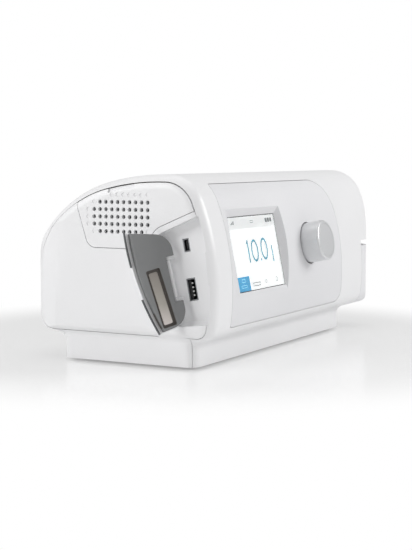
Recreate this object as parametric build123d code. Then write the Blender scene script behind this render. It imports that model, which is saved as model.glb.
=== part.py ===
from build123d import *
import os
from math import asin, atan2, cos, degrees, hypot, radians, sin, sqrt, tan

# Bedside breathing-pressure machine. Millimetres, X to the right seen from the front,
# Y to the back, Z up. Everything is built round the middle of the housing, with the front
# of the plinth at Y = 0 and the table at Z = 0, and is moved at the end so that the origin
# is the middle of the finished machine's footprint.

# Housing
body_width = 262.0
body_under = 17.0
body_top = 116.0
wall = 2.4
edge_round = 9.0
rim_width = 4.4
seam_gap = 0.3

# Side profile: arcs in (Y, Z)
front_bulge_radius = 150.0
front_reach = 15.0
front_bulge_z = 45.0
front_foot_radius = 12.0
front_top_radius = 24.0
roof_radius = 160.0
roof_start_y = 22.0
roof_turn = 14.0
shoulder_radius = 82.0
shoulder_drop = 31.6
back_radius = 150.0
back_foot_radius = 28.0

# Plan corners
plan_back_left = 36.0
plan_back_right = 30.0
plan_front_right = 25.0
plan_front_left = 0.5

# Plinth
plinth_left_inset = 5.0
plinth_right_inset = 34.0
plinth_back_y = 95.0
plinth_corner = 7.0
waist_radius = 5.5
foot_height = 1.2
foot_radius = 6.0
foot_inset = 16.0
floor_thick = 2.4
plinth_wall = 2.5

# Seams between the shells
front_seam_y = 24.0
low_seam_z = 30.0
side_low_z = 19.2

# Silver front panel, seen from the front
panel_left_inset = 25.0
panel_right_inset = 67.0
panel_low = 24.0
panel_top_inset = 6.0
panel_corner_top = 24.0
panel_corner_low = 10.0
panel_corner_left = 2.0

# Screen, on a plane that leans back
screen_lean = 11.3
screen_from_panel = 45.1
screen_z = 66.8
screen_y = -9.25
screen_width = 65.4
screen_height = 46.5
screen_gap = 0.3
glass_thick = 1.2
glass_sink = 0.2
module_thick = 3.6
module_margin = 3.0
surround_left = 9.0
surround_right = 7.0
surround_top = 8.0
surround_low = 9.0
surround_slope_left = 2.2
surround_slope_right = 0.85
surround_slope_top = 1.5
surround_slope_low = 4.6
surround_thick = 2.2

# Knob and encoder
knob_x = 11.0
knob_z = 68.5
knob_radius = 13.5
knob_height = 13.0
knob_sink = 1.3
knob_ring_gap = 0.7
knob_edge = 1.2
knob_cap_radius = 11.0
knob_cap_thick = 0.8
knob_wall = 2.0
knob_top_thick = 3.0
knob_hub_wall = 1.8
knob_travel = 0.6
push_clearance = 0.2
shaft_radius = 3.0
shaft_end_depth = 4.0
running_gap = 0.05
bushing_radius = 4.6
encoder_side = 13.0
encoder_thick = 6.5
encoder_floor = 1.0
plunger_radius = 2.0
plunger_height = 2.9
plunger_room = 0.4

# Display frame and boards
frame_thick = 2.0
board_thick = 1.6
frame_side_gap = 2.0
frame_low = -36.0
frame_high = 35.0
frame_post_radius = 2.0
frame_post_inset = 2.6
main_board_y = 21.0
main_board_right_inset = 39.0
main_board_low = 6.0
main_board_top_inset = 18.0
rib_half = 4.0
rib_wall = 3.0
rib_grip = 6.0
rib_end_inset = 12.0

# Port recess, its door and the sockets: distances from the door's slanted hinge line
hinge_slant = 14.0
hinge_x_depth = 1.4
hinge_y = 13.7
hinge_z = 54.65
door_open = 122.0
recess_depth = 8.0
recess_straight = 5.4
recess_back = 6.1
recess_top = 30.5
recess_top_slope = 3.9
recess_low = -31.7
recess_low_slope = 3.3
recess_corner = 8.5
door_corner = 11.0
recess_top_slant = 4.5
recess_low_slant = 2.5
recess_back_slant = 0.5
recess_wall = 1.8
recess_lip = 3.0
door_gap = 0.4
door_skin = 2.0
door_liner = 2.6
liner_margin = 2.2
liner_end_margin = 0.6
shoulder_past_hinge = 3.2
notch_top = 13.2
notch_low = -14.0
notch_depth = 2.4
leaf_overlap = 0.4
ear_width = 1.8
ear_gap = 0.25
barrel_radius = 1.4
pin_radius = 0.8
pocket_near = 6.3
pocket_far = 15.7
pocket_low = -27.8
pocket_high = 7.2
pocket_turn = 6.0
pocket_depth = 1.6
insert_margin = 1.7
lip_depth = 1.2
lip_thick = 1.0
lip_upper = (10.6, 31.5)
lip_lower = (-34.0, -9.0)
lip_near = 15.0
usb_y = 3.3
usb_z = 48.0
usb_width = 5.8
usb_height = 13.2
usb_length = 14.0
usb_wall = 0.5
mini_y = 7.3
mini_z = 74.2
mini_width = 3.9
mini_height = 7.7
mini_length = 9.0
socket_gap = 0.2
socket_lean = 11.0
socket_set_back = 0.2
tongue_end_gap = 1.0
tongue_thick = 1.9
tongue_side_gap = 0.6
mini_tongue_thick = 1.1
mini_tongue_side_gap = 0.7

# Filter cover, its grille and the filter
cover_back_y = 82.2
cover_back_low_y = 71.7
cover_low = 71.2
cover_top_inset = 12.0
cover_corner = 7.0
cover_gap = 0.35
cover_axis_rise = 1.4
cover_axis_depth = 0.8
cover_swing_room = 3.4
grille_rows = 5
grille_columns = 10
grille_first_y = 29.3
grille_top_inset = 16.7
grille_pitch_y = 4.2
grille_pitch_z = 4.45
grille_hole = 1.3
grille_dimple_depth = 0.35
grille_blind_above = 7
slot_start_y = 39.0
slot_end_y = 57.5
slot_drop = 2.4
slot_depth = 1.2
filter_front_y = 29.0
filter_back_y = 71.0
filter_low_z = 75.5
filter_top_inset = 14.0
filter_thick = 8.0
filter_stand_off = 1.2
tray_wall = 1.5
tray_lip = 3.0
filter_play = 0.2
lug_thick = 4.0
lug_drop = 10.0
lug_past_filter = 6.0

# Right-hand end cover
end_seam_x = 103.0
end_cover_top = 61.0
end_groove = 4.0
end_wall_thick = 2.0

# Air path
blower_x = 18.0
blower_y = 62.0
blower_z = 66.0
blower_radius = 37.0
blower_width = 28.0
blower_wall = 2.0
inlet_radius = 15.0
impeller_radius = 29.0
impeller_hub = 6.5
impeller_width = 12.0
impeller_blades = 11
blade_thick = 1.1
impeller_gap = 2.5
motor_radius = 20.0
motor_length = 22.0
magnet_radius = 8.0
rotor_radius = 2.0
bearing_radius = 5.5
bearing_width = 4.0
duct_height = 22.0
duct_end_y = 100.0
spigot_x = 32.0
spigot_radius = 11.0
spigot_bore = 9.0
spigot_length = 20.5
spigot_neck = 0.3
spigot_stand_off = 0.5
spigot_edge = 0.6
spigot_collar = 13.0
spigot_collar_thick = 3.0
spigot_start_y = 108.0
muffler_side_gap = 19.0
muffler_back = 84.0
muffler_front = 32.0
muffler_low = 20.0
muffler_high = 86.0
muffler_wall = 2.0
lid_thick = 2.0
mount_radius = 5.0
mount_height = 7.0
boss_radius = 4.0

# Fasteners and small electrics
post_radius = 3.5
post_low_z = 14.0
post_back_inset = 7.0
post_behind_board = 7.5
post_left_inset = 10.0
post_back_left_inset = 18.0
post_right_inset = 6.0
screw_radius = 1.5
screw_head_radius = 2.8
screw_head_height = 1.6
screw_reach = 12.0
jack_x = -60.0
jack_z = 42.0
jack_side = 12.0
jack_sink = 1.8
jack_length = 16.0
jack_bore = 3.1
jack_bore_depth = 9.5
speaker_x = -70.0
speaker_y = 11.0
speaker_radius = 8.0
speaker_height = 6.0
sensor_size = 9.0
ribbon_width = 16.0
ribbon_thick = 0.4

# Lengths that only have to be small enough, past a face, or past the whole housing
tiny = 1e-4
past = 5.0
beyond = 200.0

# Places that follow from the sizes above
left_x = -body_width / 2
right_x = body_width / 2
front_bulge_y = front_bulge_radius - front_reach
floor_z = foot_height + floor_thick
shoulder_low_z = body_top - shoulder_drop
panel_left = left_x + panel_left_inset
panel_right = right_x - panel_right_inset
panel_high = body_top - panel_top_inset
screen_x = panel_left + screen_from_panel
frame_left = panel_left + frame_side_gap
frame_right = panel_right - frame_side_gap
main_board_left = panel_left
main_board_right = right_x - main_board_right_inset
main_board_high = body_top - main_board_top_inset
cover_top_z = body_top - cover_top_inset
grille_first_z = body_top - grille_top_inset
filter_high_z = body_top - filter_top_inset
muffler_left = left_x + muffler_side_gap


def on_circle(centre, radius, angle):
    return (centre[0] + radius * cos(radians(angle)), centre[1] + radius * sin(radians(angle)))


def outline(arcs):
    """Closed face from arcs (centre, radius, start, end), joined by straight lines."""
    edges = []
    starts = [on_circle(c, r, a) for c, r, a, b in arcs]
    for number, (centre, radius, start, end) in enumerate(arcs):
        first = starts[number]
        last = on_circle(centre, radius, end)
        edges.append(ThreePointArc(first, on_circle(centre, radius, (start + end) / 2), last).edge())
        following = starts[(number + 1) % len(arcs)]
        if hypot(following[0] - last[0], following[1] - last[1]) > tiny:
            edges.append(Line(last, following).edge())
    return make_face(Wire(edges))


def block(x0, x1, y0, y1, z0, z1):
    return Pos((x0 + x1) / 2, (y0 + y1) / 2, (z0 + z1) / 2) * Box(x1 - x0, y1 - y0, z1 - z0)


def over_width(y0, y1, z0, z1):
    """Block that runs past both ends of the housing."""
    return block(-beyond, beyond, y0, y1, z0, z1)


def rod(start, direction, radius, length):
    return Plane(origin=start, z_dir=direction) * Cylinder(
        radius, length, align=(Align.CENTER, Align.CENTER, Align.MIN))


def across(face, x0, x1):
    """A face drawn in (Y, Z), carried from x0 to x1."""
    return extrude(Plane.YZ.offset(x0) * face, amount=x1 - x0)


def inside_centre(centre, radius, small_radius, height, side):
    """Centre, at a height, of a small circle that touches a large one from inside."""
    rise = height - centre[1]
    return (centre[0] + side * sqrt((radius - small_radius) ** 2 - rise ** 2), height)


def bearing_of(centre, point):
    return degrees(atan2(point[1] - centre[1], point[0] - centre[0]))


def profile(inset, under=body_under):
    """Side outline of the housing in (Y, Z)."""
    bulge = (front_bulge_y, front_bulge_z)
    front_foot = inside_centre(bulge, front_bulge_radius, front_foot_radius, under + front_foot_radius, -1)
    front_top = inside_centre(bulge, front_bulge_radius, front_top_radius, body_top - front_top_radius, -1)
    foot_angle = bearing_of(bulge, front_foot) % 360
    top_angle = bearing_of(bulge, front_top) % 360
    roof = (roof_start_y, body_top - roof_radius)
    roof_end = on_circle(roof, roof_radius, 90 - roof_turn)
    shoulder = on_circle(roof_end, -shoulder_radius, 90 - roof_turn)
    shoulder_angle = degrees(asin((shoulder_low_z - shoulder[1]) / shoulder_radius))
    shoulder_end = on_circle(shoulder, shoulder_radius, shoulder_angle)
    back = on_circle(shoulder_end, -back_radius, shoulder_angle)
    back_foot = inside_centre(back, back_radius, back_foot_radius, under + back_foot_radius, 1)
    back_angle = bearing_of(back, back_foot)
    return outline([
        (back_foot, back_foot_radius - inset, back_angle, -90),
        (front_foot, front_foot_radius - inset, 270, foot_angle),
        (bulge, front_bulge_radius - inset, foot_angle, top_angle),
        (front_top, front_top_radius - inset, top_angle, 90),
        (roof, roof_radius - inset, 90, 90 - roof_turn),
        (shoulder, shoulder_radius - inset, 90 - roof_turn, shoulder_angle),
        (back, back_radius - inset, shoulder_angle, back_angle),
    ])


body_front_y = front_bulge_y - front_bulge_radius
body_back_y = profile(0).bounding_box().max.X


def front_surface_y(height, inset=0):
    """Y of the housing's front at a height on the large front arc."""
    return front_bulge_y - sqrt((front_bulge_radius - inset) ** 2 - (height - front_bulge_z) ** 2)


def body(inset):
    """The housing's volume, drawn in all round by the inset."""
    bar = extrude(Plane.YZ * profile(inset), amount=body_width / 2 - inset, both=True)
    ends = bar.edges().filter_by(lambda edge: edge.bounding_box().size.X < tiny)
    bar = fillet(ends, edge_round - inset)
    plan = outline([
        ((left_x + plan_back_left, body_back_y - plan_back_left), plan_back_left - inset, 180, 90),
        ((right_x - plan_back_right, body_back_y - plan_back_right), plan_back_right - inset, 90, 0),
        ((right_x - plan_front_right, body_front_y + plan_front_right), plan_front_right - inset, 0, -90),
        ((left_x + inset + plan_front_left, body_front_y + inset - edge_round), plan_front_left, -90, -180),
    ])
    return bar & extrude(plan, amount=2 * body_top)


outer = body(0)
inner = body(wall)
skin = outer - inner
near_inner = body(wall + seam_gap)


def side_region(gap, x0, x1):
    """The part of the left side that the side cover fills, inside the shells' rim."""
    return across(profile(rim_width + gap, side_low_z - rim_width), x0, x1)


side_depth_x = left_x + plan_back_left + 4.0
side_hole = side_region(-seam_gap, left_x - past, side_depth_x + seam_gap)
end_hole = block(end_seam_x - seam_gap, right_x + past, -beyond, beyond, 0, end_cover_top + end_groove)


def plinth_plan(inset, low, high):
    width = body_width - plinth_left_inset - plinth_right_inset - 2 * inset
    depth = plinth_back_y - 2 * inset
    middle = (plinth_left_inset - plinth_right_inset) / 2
    plate = RectangleRounded(width, depth, plinth_corner - inset)
    return extrude(Pos(middle, plinth_back_y / 2, low) * plate, amount=high - low)


def on_waist(edge):
    """Whether an edge is where the plinth's wall runs into the housing's underside."""
    box = edge.bounding_box()
    beside = box.min.X > left_x + plinth_left_inset - 1 and box.max.X < right_x - plinth_right_inset + 1
    between = box.min.Y > -1 and box.max.Y < plinth_back_y + 1
    return beside and between and box.min.Z > body_under - 1 and box.max.Z < body_under + 3


def on_plinth():
    """Housing on its plinth, with a hollow waist where the two run together."""
    whole = outer + plinth_plan(0, foot_height, body_under + 5)
    return fillet(whole.edges().filter_by(on_waist), waist_radius)


footed = on_plinth()
footed_skin = footed - inner
plinth_solid = footed - outer
plinth_hollow = plinth_plan(plinth_wall, floor_z, body_under + wall + 1)

# Screen plane: local X to the right, local Y up the lean, local Z outwards
screen_plane = Plane(
    origin=(screen_x, screen_y, screen_z), x_dir=(1, 0, 0),
    z_dir=(0, -cos(radians(screen_lean)), sin(radians(screen_lean))))
outward = screen_plane.z_dir


def screen_block(left, right, low, high, back, front):
    """Block in the screen plane's own directions."""
    box = Box(right - left, high - low, front - back)
    return screen_plane * Pos((left + right) / 2, (low + high) / 2, (back + front) / 2) * box


half_screen = screen_width / 2
half_height = screen_height / 2

knob_surface = Vector(knob_x, front_surface_y(knob_z), knob_z)
knob_level = (knob_surface - screen_plane.origin).dot(outward)
board_level = -(glass_sink + glass_thick + module_thick + frame_thick)


def knob_point(level):
    """Point on the knob's axis at a level above the screen plane."""
    return knob_surface + outward * (level - knob_level)


def panel_prism(grow):
    """Outline of the silver panel seen from the front, carried along Y."""
    width_left = panel_left - grow
    width_right = panel_right + grow
    low = panel_low - grow
    high = panel_high + grow
    left_r = panel_corner_left
    face = outline([
        ((width_left + left_r, low + left_r), left_r, 270, 180),
        ((width_left + left_r, high - left_r), left_r, 180, 90),
        ((width_right - panel_corner_top, high - panel_corner_top), panel_corner_top, 90, 0),
        ((width_right - panel_corner_low, low + panel_corner_low), panel_corner_low, 0, -90),
    ])
    return extrude(Plane.XZ.offset(-front_seam_y + 4) * face, amount=60)


def front_shell():
    """White fascia: front, rims, front of the roof and front of the plinth."""
    front = footed_skin & over_width(-beyond, plinth_wall, 0, beyond)
    roof = skin & over_width(plinth_wall, front_seam_y, 0, beyond)
    shell = (front + roof) - panel_prism(seam_gap)
    shell = shell - side_hole
    shell = shell - end_hole
    return shell - plinth_hollow - lip_notches()


def post_places():
    front = main_board_y + post_behind_board
    back = plinth_back_y - post_back_inset
    right = main_board_right - post_right_inset
    return [(main_board_left + post_left_inset, front), (right, front),
            (main_board_left + post_back_left_inset, back), (right, back)]


def main_shell():
    """White roof and back, with the screw posts that stand down from the roof."""
    shell = skin & over_width(front_seam_y, beyond, low_seam_z, beyond)
    shell = shell - side_hole
    shell = shell - end_hole
    for x, y in post_places():
        post = rod((x, y, post_low_z), (0, 0, 1), post_radius, body_top) & body(wall / 2)
        shell = shell + (post - rod((x, y, 0), (0, 0, 1), screw_radius, post_low_z + screw_reach - 3))
    opening = rod((spigot_x, spigot_start_y, spigot_z()), (0, 1, 0), spigot_radius + seam_gap, beyond)
    jack_hole = block(*jack_box(seam_gap))
    return shell - opening - jack_hole


def spigot_z():
    return blower_z - blower_radius + blower_wall + duct_height / 2


def jack_box(gap):
    half = jack_side / 2 + gap
    end = body_back_y - jack_sink
    return (jack_x - half, jack_x + half, end - jack_length, end + (beyond if gap else 0),
            jack_z - half, jack_z + half)


def bottom_case():
    """Plinth tray, underside and lower back, with the bosses that carry the insides."""
    low_back = footed_skin & over_width(front_seam_y, beyond, 0, low_seam_z)
    low_back = low_back - plinth_hollow
    low_back = low_back - side_hole
    low_back = low_back - end_hole
    tray_front = plinth_solid & block(left_x, right_x, plinth_wall + seam_gap, front_seam_y, 0, body_top)
    case = low_back + (tray_front - plinth_hollow)
    for x, y in post_places():
        case = case + rod((x, y, floor_z), (0, 0, 1), post_radius, post_low_z - floor_z)
    for x, y in muffler_feet():
        case = case + rod((x, y, floor_z), (0, 0, 1), boss_radius, muffler_low - floor_z)
    for x, y in blower_feet():
        case = case + rod((x, y, floor_z), (0, 0, 1), mount_radius, blower_foot_z() - mount_height - floor_z)
    board_back = main_board_y + board_thick
    for x in (main_board_left + rib_end_inset, 0, main_board_right - rib_end_inset):
        rib = block(x - rib_half, x + rib_half, main_board_y - rib_wall, board_back + rib_wall,
                    floor_z, main_board_low + rib_grip)
        case = case + (rib - block(x - beyond, x + beyond, main_board_y, board_back, main_board_low, beyond))
    for x, y in post_places():
        case = case - rod((x, y, 0), (0, 0, 1), screw_radius, post_low_z + 1)
        case = case - rod((x, y, 0), (0, 0, 1), screw_head_radius, foot_height + screw_head_height)
    opening = rod((spigot_x, spigot_start_y, spigot_z()), (0, 1, 0), spigot_radius + seam_gap, beyond)
    return case - opening


def muffler_feet():
    return [(x, y) for x in (muffler_left + 12, blower_x - 14) for y in (muffler_front + 8, muffler_back - 8)]


def blower_feet():
    x = blower_x + blower_width / 2
    return [(x, blower_y - 22), (x, blower_y), (x, blower_y + 22)]


def blower_foot_z():
    return blower_z - blower_radius - 3.0


def feet():
    left = left_x + plinth_left_inset + foot_inset
    right = right_x - plinth_right_inset - foot_inset
    places = [(x, y) for x in (left, right) for y in (foot_inset, plinth_back_y - foot_inset)]
    return [rod((x, y, 0), (0, 0, 1), foot_radius, foot_height) for x, y in places]


def case_screws():
    screws = []
    for x, y in post_places():
        head_z = foot_height + screw_head_height
        shank = rod((x, y, head_z), (0, 0, 1), screw_radius, post_low_z + screw_reach - 4 - head_z)
        screws.append(shank + rod((x, y, foot_height), (0, 0, 1), screw_head_radius, screw_head_height))
    return screws


def front_panel():
    """Silver fascia with the dished surround of the screen moulded in."""
    panel = skin & panel_prism(0)
    frame = screen_block(-half_screen - surround_left, half_screen + surround_right,
                         -half_height - surround_low, half_height + surround_top, -surround_thick, beyond)
    panel = panel + (frame & outer)
    rise = 8.0
    small = (screen_width + 2 * screen_gap, screen_height + 2 * screen_gap)
    big = (small[0] + rise * (surround_slope_left + surround_slope_right),
           small[1] + rise * (surround_slope_low + surround_slope_top))
    shift = (rise * (surround_slope_right - surround_slope_left) / 2,
             rise * (surround_slope_top - surround_slope_low) / 2)
    low_face = screen_plane * Rectangle(*small)
    high_face = screen_plane * Pos(shift[0], shift[1], rise) * Rectangle(*big)
    panel = panel - loft([low_face, high_face], ruled=True)
    panel = panel - screen_block(-small[0] / 2, small[0] / 2, -small[1] / 2, small[1] / 2, -beyond, 0.1)
    hole_radius = knob_radius + knob_ring_gap
    return panel - rod(knob_point(-20), outward, hole_radius, 60)


def screen_glass():
    plate = screen_block(-half_screen, half_screen, -half_height, half_height,
                         -glass_sink - glass_thick, -glass_sink)
    return plate


def lcd_module():
    """Display module: its margin seats on the back of the surround."""
    back = -glass_sink - glass_thick - module_thick
    wide = screen_block(-half_screen - module_margin, half_screen + module_margin,
                        -half_height - module_margin, half_height + module_margin, back, -surround_thick)
    step = screen_block(-half_screen, half_screen, -half_height, half_height, back, -glass_sink - glass_thick)
    return wide + step


def display_frame():
    """Carrier behind the display, on four posts from the back of the fascia."""
    back = board_level
    frame = screen_block(frame_left - screen_x, frame_right - screen_x, frame_low, frame_high,
                         back, back + frame_thick)
    frame = frame & body(wall + 1.0)
    side_room = half_screen + seam_gap
    end_room = half_height + seam_gap
    surround_room = screen_block(-side_room - surround_left, side_room + surround_right,
                                 -end_room - surround_low, end_room + surround_top, -surround_thick, beyond)
    for x in (frame_left + frame_post_inset, frame_right - frame_post_inset):
        for v in (frame_low + frame_post_inset, frame_high - frame_post_inset):
            start = screen_plane.from_local_coords((x - screen_x, v, back))
            post = rod(start, outward, frame_post_radius, 40) & near_inner
            frame = frame + (post - surround_room)
    hole = encoder_side / 2 + 0.5
    return frame - encoder_block(hole, board_level - 1, 40)


def encoder_block(half, low, high):
    local = screen_plane.to_local_coords(knob_point(0))
    return screen_block(local.X - half, local.X + half, local.Y - half, local.Y + half, low, high)


def display_board():
    local = screen_plane.to_local_coords(knob_point(0))
    return screen_block(-half_screen, local.X + encoder_side, frame_low + 4, frame_high - 12,
                        board_level - board_thick, board_level)


def encoder_body():
    """Encoder can with its bushing, bored for the shaft and for the push plunger."""
    top = board_level + encoder_thick
    can = encoder_block(encoder_side / 2, board_level, top)
    can = can + rod(knob_point(top), outward, bushing_radius, knob_level - knob_sink - 1.2 - top)
    can = can - rod(knob_point(shaft_level()), outward, shaft_radius + running_gap, 40)
    depth = knob_travel + plunger_room + plunger_height
    return can - rod(knob_point(shaft_level() - depth), outward, plunger_radius + running_gap, 40)


def shaft_level():
    """Level of the shaft's inner end, above the plunger."""
    return board_level + encoder_floor + knob_travel + plunger_room + plunger_height


def encoder_shaft():
    start = shaft_level() + knob_travel + push_clearance
    end = knob_level + knob_height - shaft_end_depth
    return rod(knob_point(start), outward, shaft_radius, end - start)


def encoder_plunger():
    length = plunger_height + knob_travel + push_clearance
    return rod(knob_point(shaft_level() - plunger_height), outward, plunger_radius, length)


def knob():
    """Push-and-turn knob with a shallow seat for its cap and a bore for the shaft."""
    base = knob_point(knob_level - knob_sink)
    length = knob_height + knob_sink
    cap = rod(base, outward, knob_radius, length)
    cap = chamfer(cap.edges().filter_by(GeomType.CIRCLE).sort_by(Axis(base, outward))[-1], knob_edge)
    cap = cap - rod(knob_point(knob_level + knob_height - knob_cap_thick), outward,
                    knob_cap_radius + running_gap, 5)
    hollow_length = length - knob_top_thick
    hollow = rod(base, outward, knob_radius - knob_wall, hollow_length)
    hollow = hollow - rod(base, outward, shaft_radius + knob_hub_wall, hollow_length)
    cap = cap - hollow
    return cap - rod(base - outward, outward, shaft_radius, length - shaft_end_depth + 1.0)


def knob_cap():
    seat = knob_point(knob_level + knob_height - knob_cap_thick)
    return rod(seat, outward, knob_cap_radius, knob_cap_thick)


# Door directions: local X from the hinge line to the front, local Y up it, local Z outwards
slant = radians(hinge_slant)
hinge_origin = Vector(left_x + hinge_x_depth, hinge_y, hinge_z)
hinge_axis = Vector(0, sin(slant), cos(slant))
door_plane = Plane(origin=hinge_origin, x_dir=(0, -cos(slant), sin(slant)), z_dir=(-1, 0, 0))


def door_outline(near, far, low, high, corner):
    """Outline of the door: the ends slant so that the front edge is the longer one."""
    points = [(near, low + recess_low_slope), (far, low - recess_low_slope),
              (far, high + recess_top_slope), (near, high - recess_top_slope)]
    face = make_face(Polyline(*points, close=True))
    near_corners = face.vertices().sort_by(Axis.X)[:2]
    return fillet(near_corners, corner)


def door_prism(face, back, front):
    return extrude(door_plane.offset(back) * face, amount=front - back)


door_far = 40.0


def recess():
    """Space of the port recess: straight for the door's swing, then narrower to the port wall."""
    top = door_outline(-recess_back, door_far, recess_low, recess_top, recess_corner)
    floor_level = hinge_x_depth - recess_depth
    step_level = hinge_x_depth - recess_straight
    deep = door_outline(-recess_back + recess_back_slant, door_far, recess_low + recess_low_slant,
                        recess_top - recess_top_slant, recess_corner)
    space = loft([door_plane.offset(floor_level) * deep, door_plane.offset(step_level) * top])
    space = space + door_prism(top, step_level, hinge_x_depth + 12)
    return space & across(profile(rim_width - seam_gap / 2), left_x - 20, left_x + 20)


def recess_lining():
    """Walls behind the recess, moulded in one with the side cover."""
    grown = door_outline(-recess_back - recess_wall, door_far, recess_low - recess_wall,
                         recess_top + recess_wall, recess_corner + 1.0)
    shape = door_prism(grown, hinge_x_depth - recess_depth - recess_wall, hinge_x_depth - wall / 2)
    room = near_inner + (outer & side_region(0, left_x, left_x + recess_depth))
    return shape & room


def socket_cut(y, z, width, height, length, gap):
    """Slot for a socket in the port wall, standing in line with the leaning front."""
    x = left_x + recess_depth
    middle = Pos(x + length / 2 - 0.5, y, z) * Rot(-socket_lean, 0, 0)
    return middle * Box(length, width + 2 * gap, height + 2 * gap)


def lip_notches():
    """Notches in the rim that the door's soft lips fill when it is closed."""
    inside_lips = profile(rim_width + door_gap - lip_depth - seam_gap)
    band = across(inside_lips, left_x - past, left_x + recess_straight)
    room = door_prism(door_outline(-recess_back, door_far, recess_low, recess_top, recess_corner), -12, 12)
    notches = []
    for low, high in (lip_upper, lip_lower):
        middle = (lip_near + door_far) / 2
        cut = Pos(middle, (low + high) / 2, 0) * Box(door_far - lip_near, high - low + 2 * seam_gap, 30)
        notches.append(band & room & (door_plane * cut))
    return notches


def hinge_ears():
    """Two prongs on the port wall that hold the door's pin."""
    ears = []
    for start in (notch_low + ear_gap, notch_top - ear_gap - ear_width):
        prong = Plane(door_plane.origin, x_dir=door_plane.x_dir, z_dir=door_plane.z_dir)
        long = recess_depth - hinge_x_depth
        ear = prong * Pos(0, start + ear_width / 2, -long / 2) * Box(2 * barrel_radius, ear_width, long + 0.4)
        ear = ear + rod(hinge_origin + hinge_axis * start, hinge_axis, barrel_radius, ear_width)
        ears.append(ear)
    return ears


def side_cover():
    """White left cover with the port recess moulded in and an opening for the filter cover."""
    region = side_region(0, left_x - past, side_depth_x)
    floor_room = block(left_x + wall + 2, right_x, -beyond, beyond, 0, body_under + wall + seam_gap)
    cover = (skin & region) - floor_room
    cover = cover + recess_lining()
    cover = cover - recess()
    for ear in hinge_ears():
        cover = cover + ear
    cover = cover - rod(hinge_origin + hinge_axis * (notch_low - 2), hinge_axis, pin_radius,
                        notch_top - notch_low + 4)
    cover = cover - socket_cut(usb_y, usb_z, usb_width, usb_height, usb_length, socket_gap)
    cover = cover - socket_cut(mini_y, mini_z, mini_width, mini_height, mini_length, socket_gap)
    return cover - filter_opening(0) - lip_notches()


def filter_face(gap):
    """Outline of the filter cover in (Y, Z): flat foot, slanted back edge, open to the front."""
    points = [(body_front_y, cover_low + gap), (cover_back_low_y - gap, cover_low + gap),
              (cover_back_y - gap, cover_top_z), (cover_back_y - gap, beyond), (body_front_y, beyond)]
    face = make_face(Polyline(*points, close=True))
    behind_front = face.vertices().filter_by(lambda point: point.X > body_front_y + 1)
    return fillet(behind_front.sort_by(Axis.Y)[:1], cover_corner - gap)


def filter_opening(gap):
    """Room for the filter cover, which reaches forwards over the port recess to the rim."""
    grown = recess_lip + gap
    over_recess = door_outline(-recess_back - grown, door_far, recess_low - grown, recess_top + grown,
                               recess_corner + grown)
    space = across(filter_face(gap), left_x - past, left_x + wall + 3)
    return space - door_prism(over_recess, -20, 20)


def filter_cover():
    """Grille cover over the filter, with a fingernail slot at its top edge."""
    region = side_region(cover_gap, left_x - past, side_depth_x)
    cover = (skin & region) & filter_opening(cover_gap)
    below_slot = across(profile(rim_width + cover_gap + slot_drop), left_x - past, left_x + past)
    slot_room = block(left_x - past, left_x + past, slot_start_y, slot_end_y, cover_low, body_top)
    slot = (outer - body(slot_depth)) - below_slot
    cover = cover - (slot & slot_room)
    for row in range(grille_rows):
        z = grille_first_z - row * grille_pitch_z
        for column in range(grille_columns):
            y = grille_first_y + column * grille_pitch_y
            blind = (row == 0 and column == grille_columns - 1) or (
                row == grille_rows - 1 and column in (0, grille_columns - 1))
            depth = grille_dimple_depth if blind else wall + 5
            cover = cover - rod((left_x - 2, y, z), (1, 0, 0), grille_hole, 2 + depth)
    above = [(column, -1) for column in range(grille_blind_above)]
    behind = [(grille_columns, row) for row in range(1, grille_rows - 1)]
    for column, row in above + behind:
        place = (left_x - 2, grille_first_y + column * grille_pitch_y, grille_first_z - row * grille_pitch_z)
        cover = cover - rod(place, (1, 0, 0), grille_hole, 2 + grille_dimple_depth)
    return cover


def filter_tray():
    """Frame that holds the filter behind its cover, hooked to the side cover's back."""
    x0 = left_x + wall + 0.1
    x1 = left_x + wall + filter_stand_off + filter_thick + tray_wall
    y0 = filter_front_y - filter_play
    y1 = filter_back_y + filter_play
    z0 = filter_low_z - filter_play
    z1 = filter_high_z + filter_play
    tray = block(x0, x1, y0 - tray_wall, y1 + tray_wall, z0 - tray_wall, z1 + tray_wall)
    hole = block(x0 - past, x1 - tray_wall, y0, y1, z0, z1)
    back_hole = block(x0 - past, x1 + past, filter_front_y + tray_lip, filter_back_y - tray_lip,
                      filter_low_z + tray_lip, filter_high_z - tray_lip)
    lug_low = block(x0, x0 + lug_thick, filter_front_y, filter_back_y + lug_past_filter,
                    cover_low - lug_drop, filter_low_z - tray_wall)
    tray = (tray - hole - back_hole) + (lug_low - filter_opening(-0.5))
    axis_start = (left_x + cover_axis_depth, -beyond, cover_low + cover_axis_rise)
    clear = rod(axis_start, (0, 1, 0), cover_swing_room, 2 * beyond)
    return (tray - clear) & near_inner


def air_filter():
    x0 = left_x + wall + filter_stand_off
    return block(x0, x0 + filter_thick, filter_front_y, filter_back_y, filter_low_z, filter_high_z)


def door_blank(shrink, near_extra, low_cut):
    """Closed door's outline as a thick prism, with the hinge notch."""
    face = door_outline(-shoulder_past_hinge + near_extra, door_far, recess_low + door_gap + low_cut,
                        recess_top - door_gap - low_cut, door_corner)
    shape = door_prism(face, -12, 12)
    return shape & across(profile(rim_width + door_gap + shrink), left_x - 20, left_x + 20)


def notch(depth):
    box = Box(20, notch_top - notch_low, 40)
    return door_plane * Pos(depth - 10, (notch_top + notch_low) / 2, 0) * box


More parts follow.
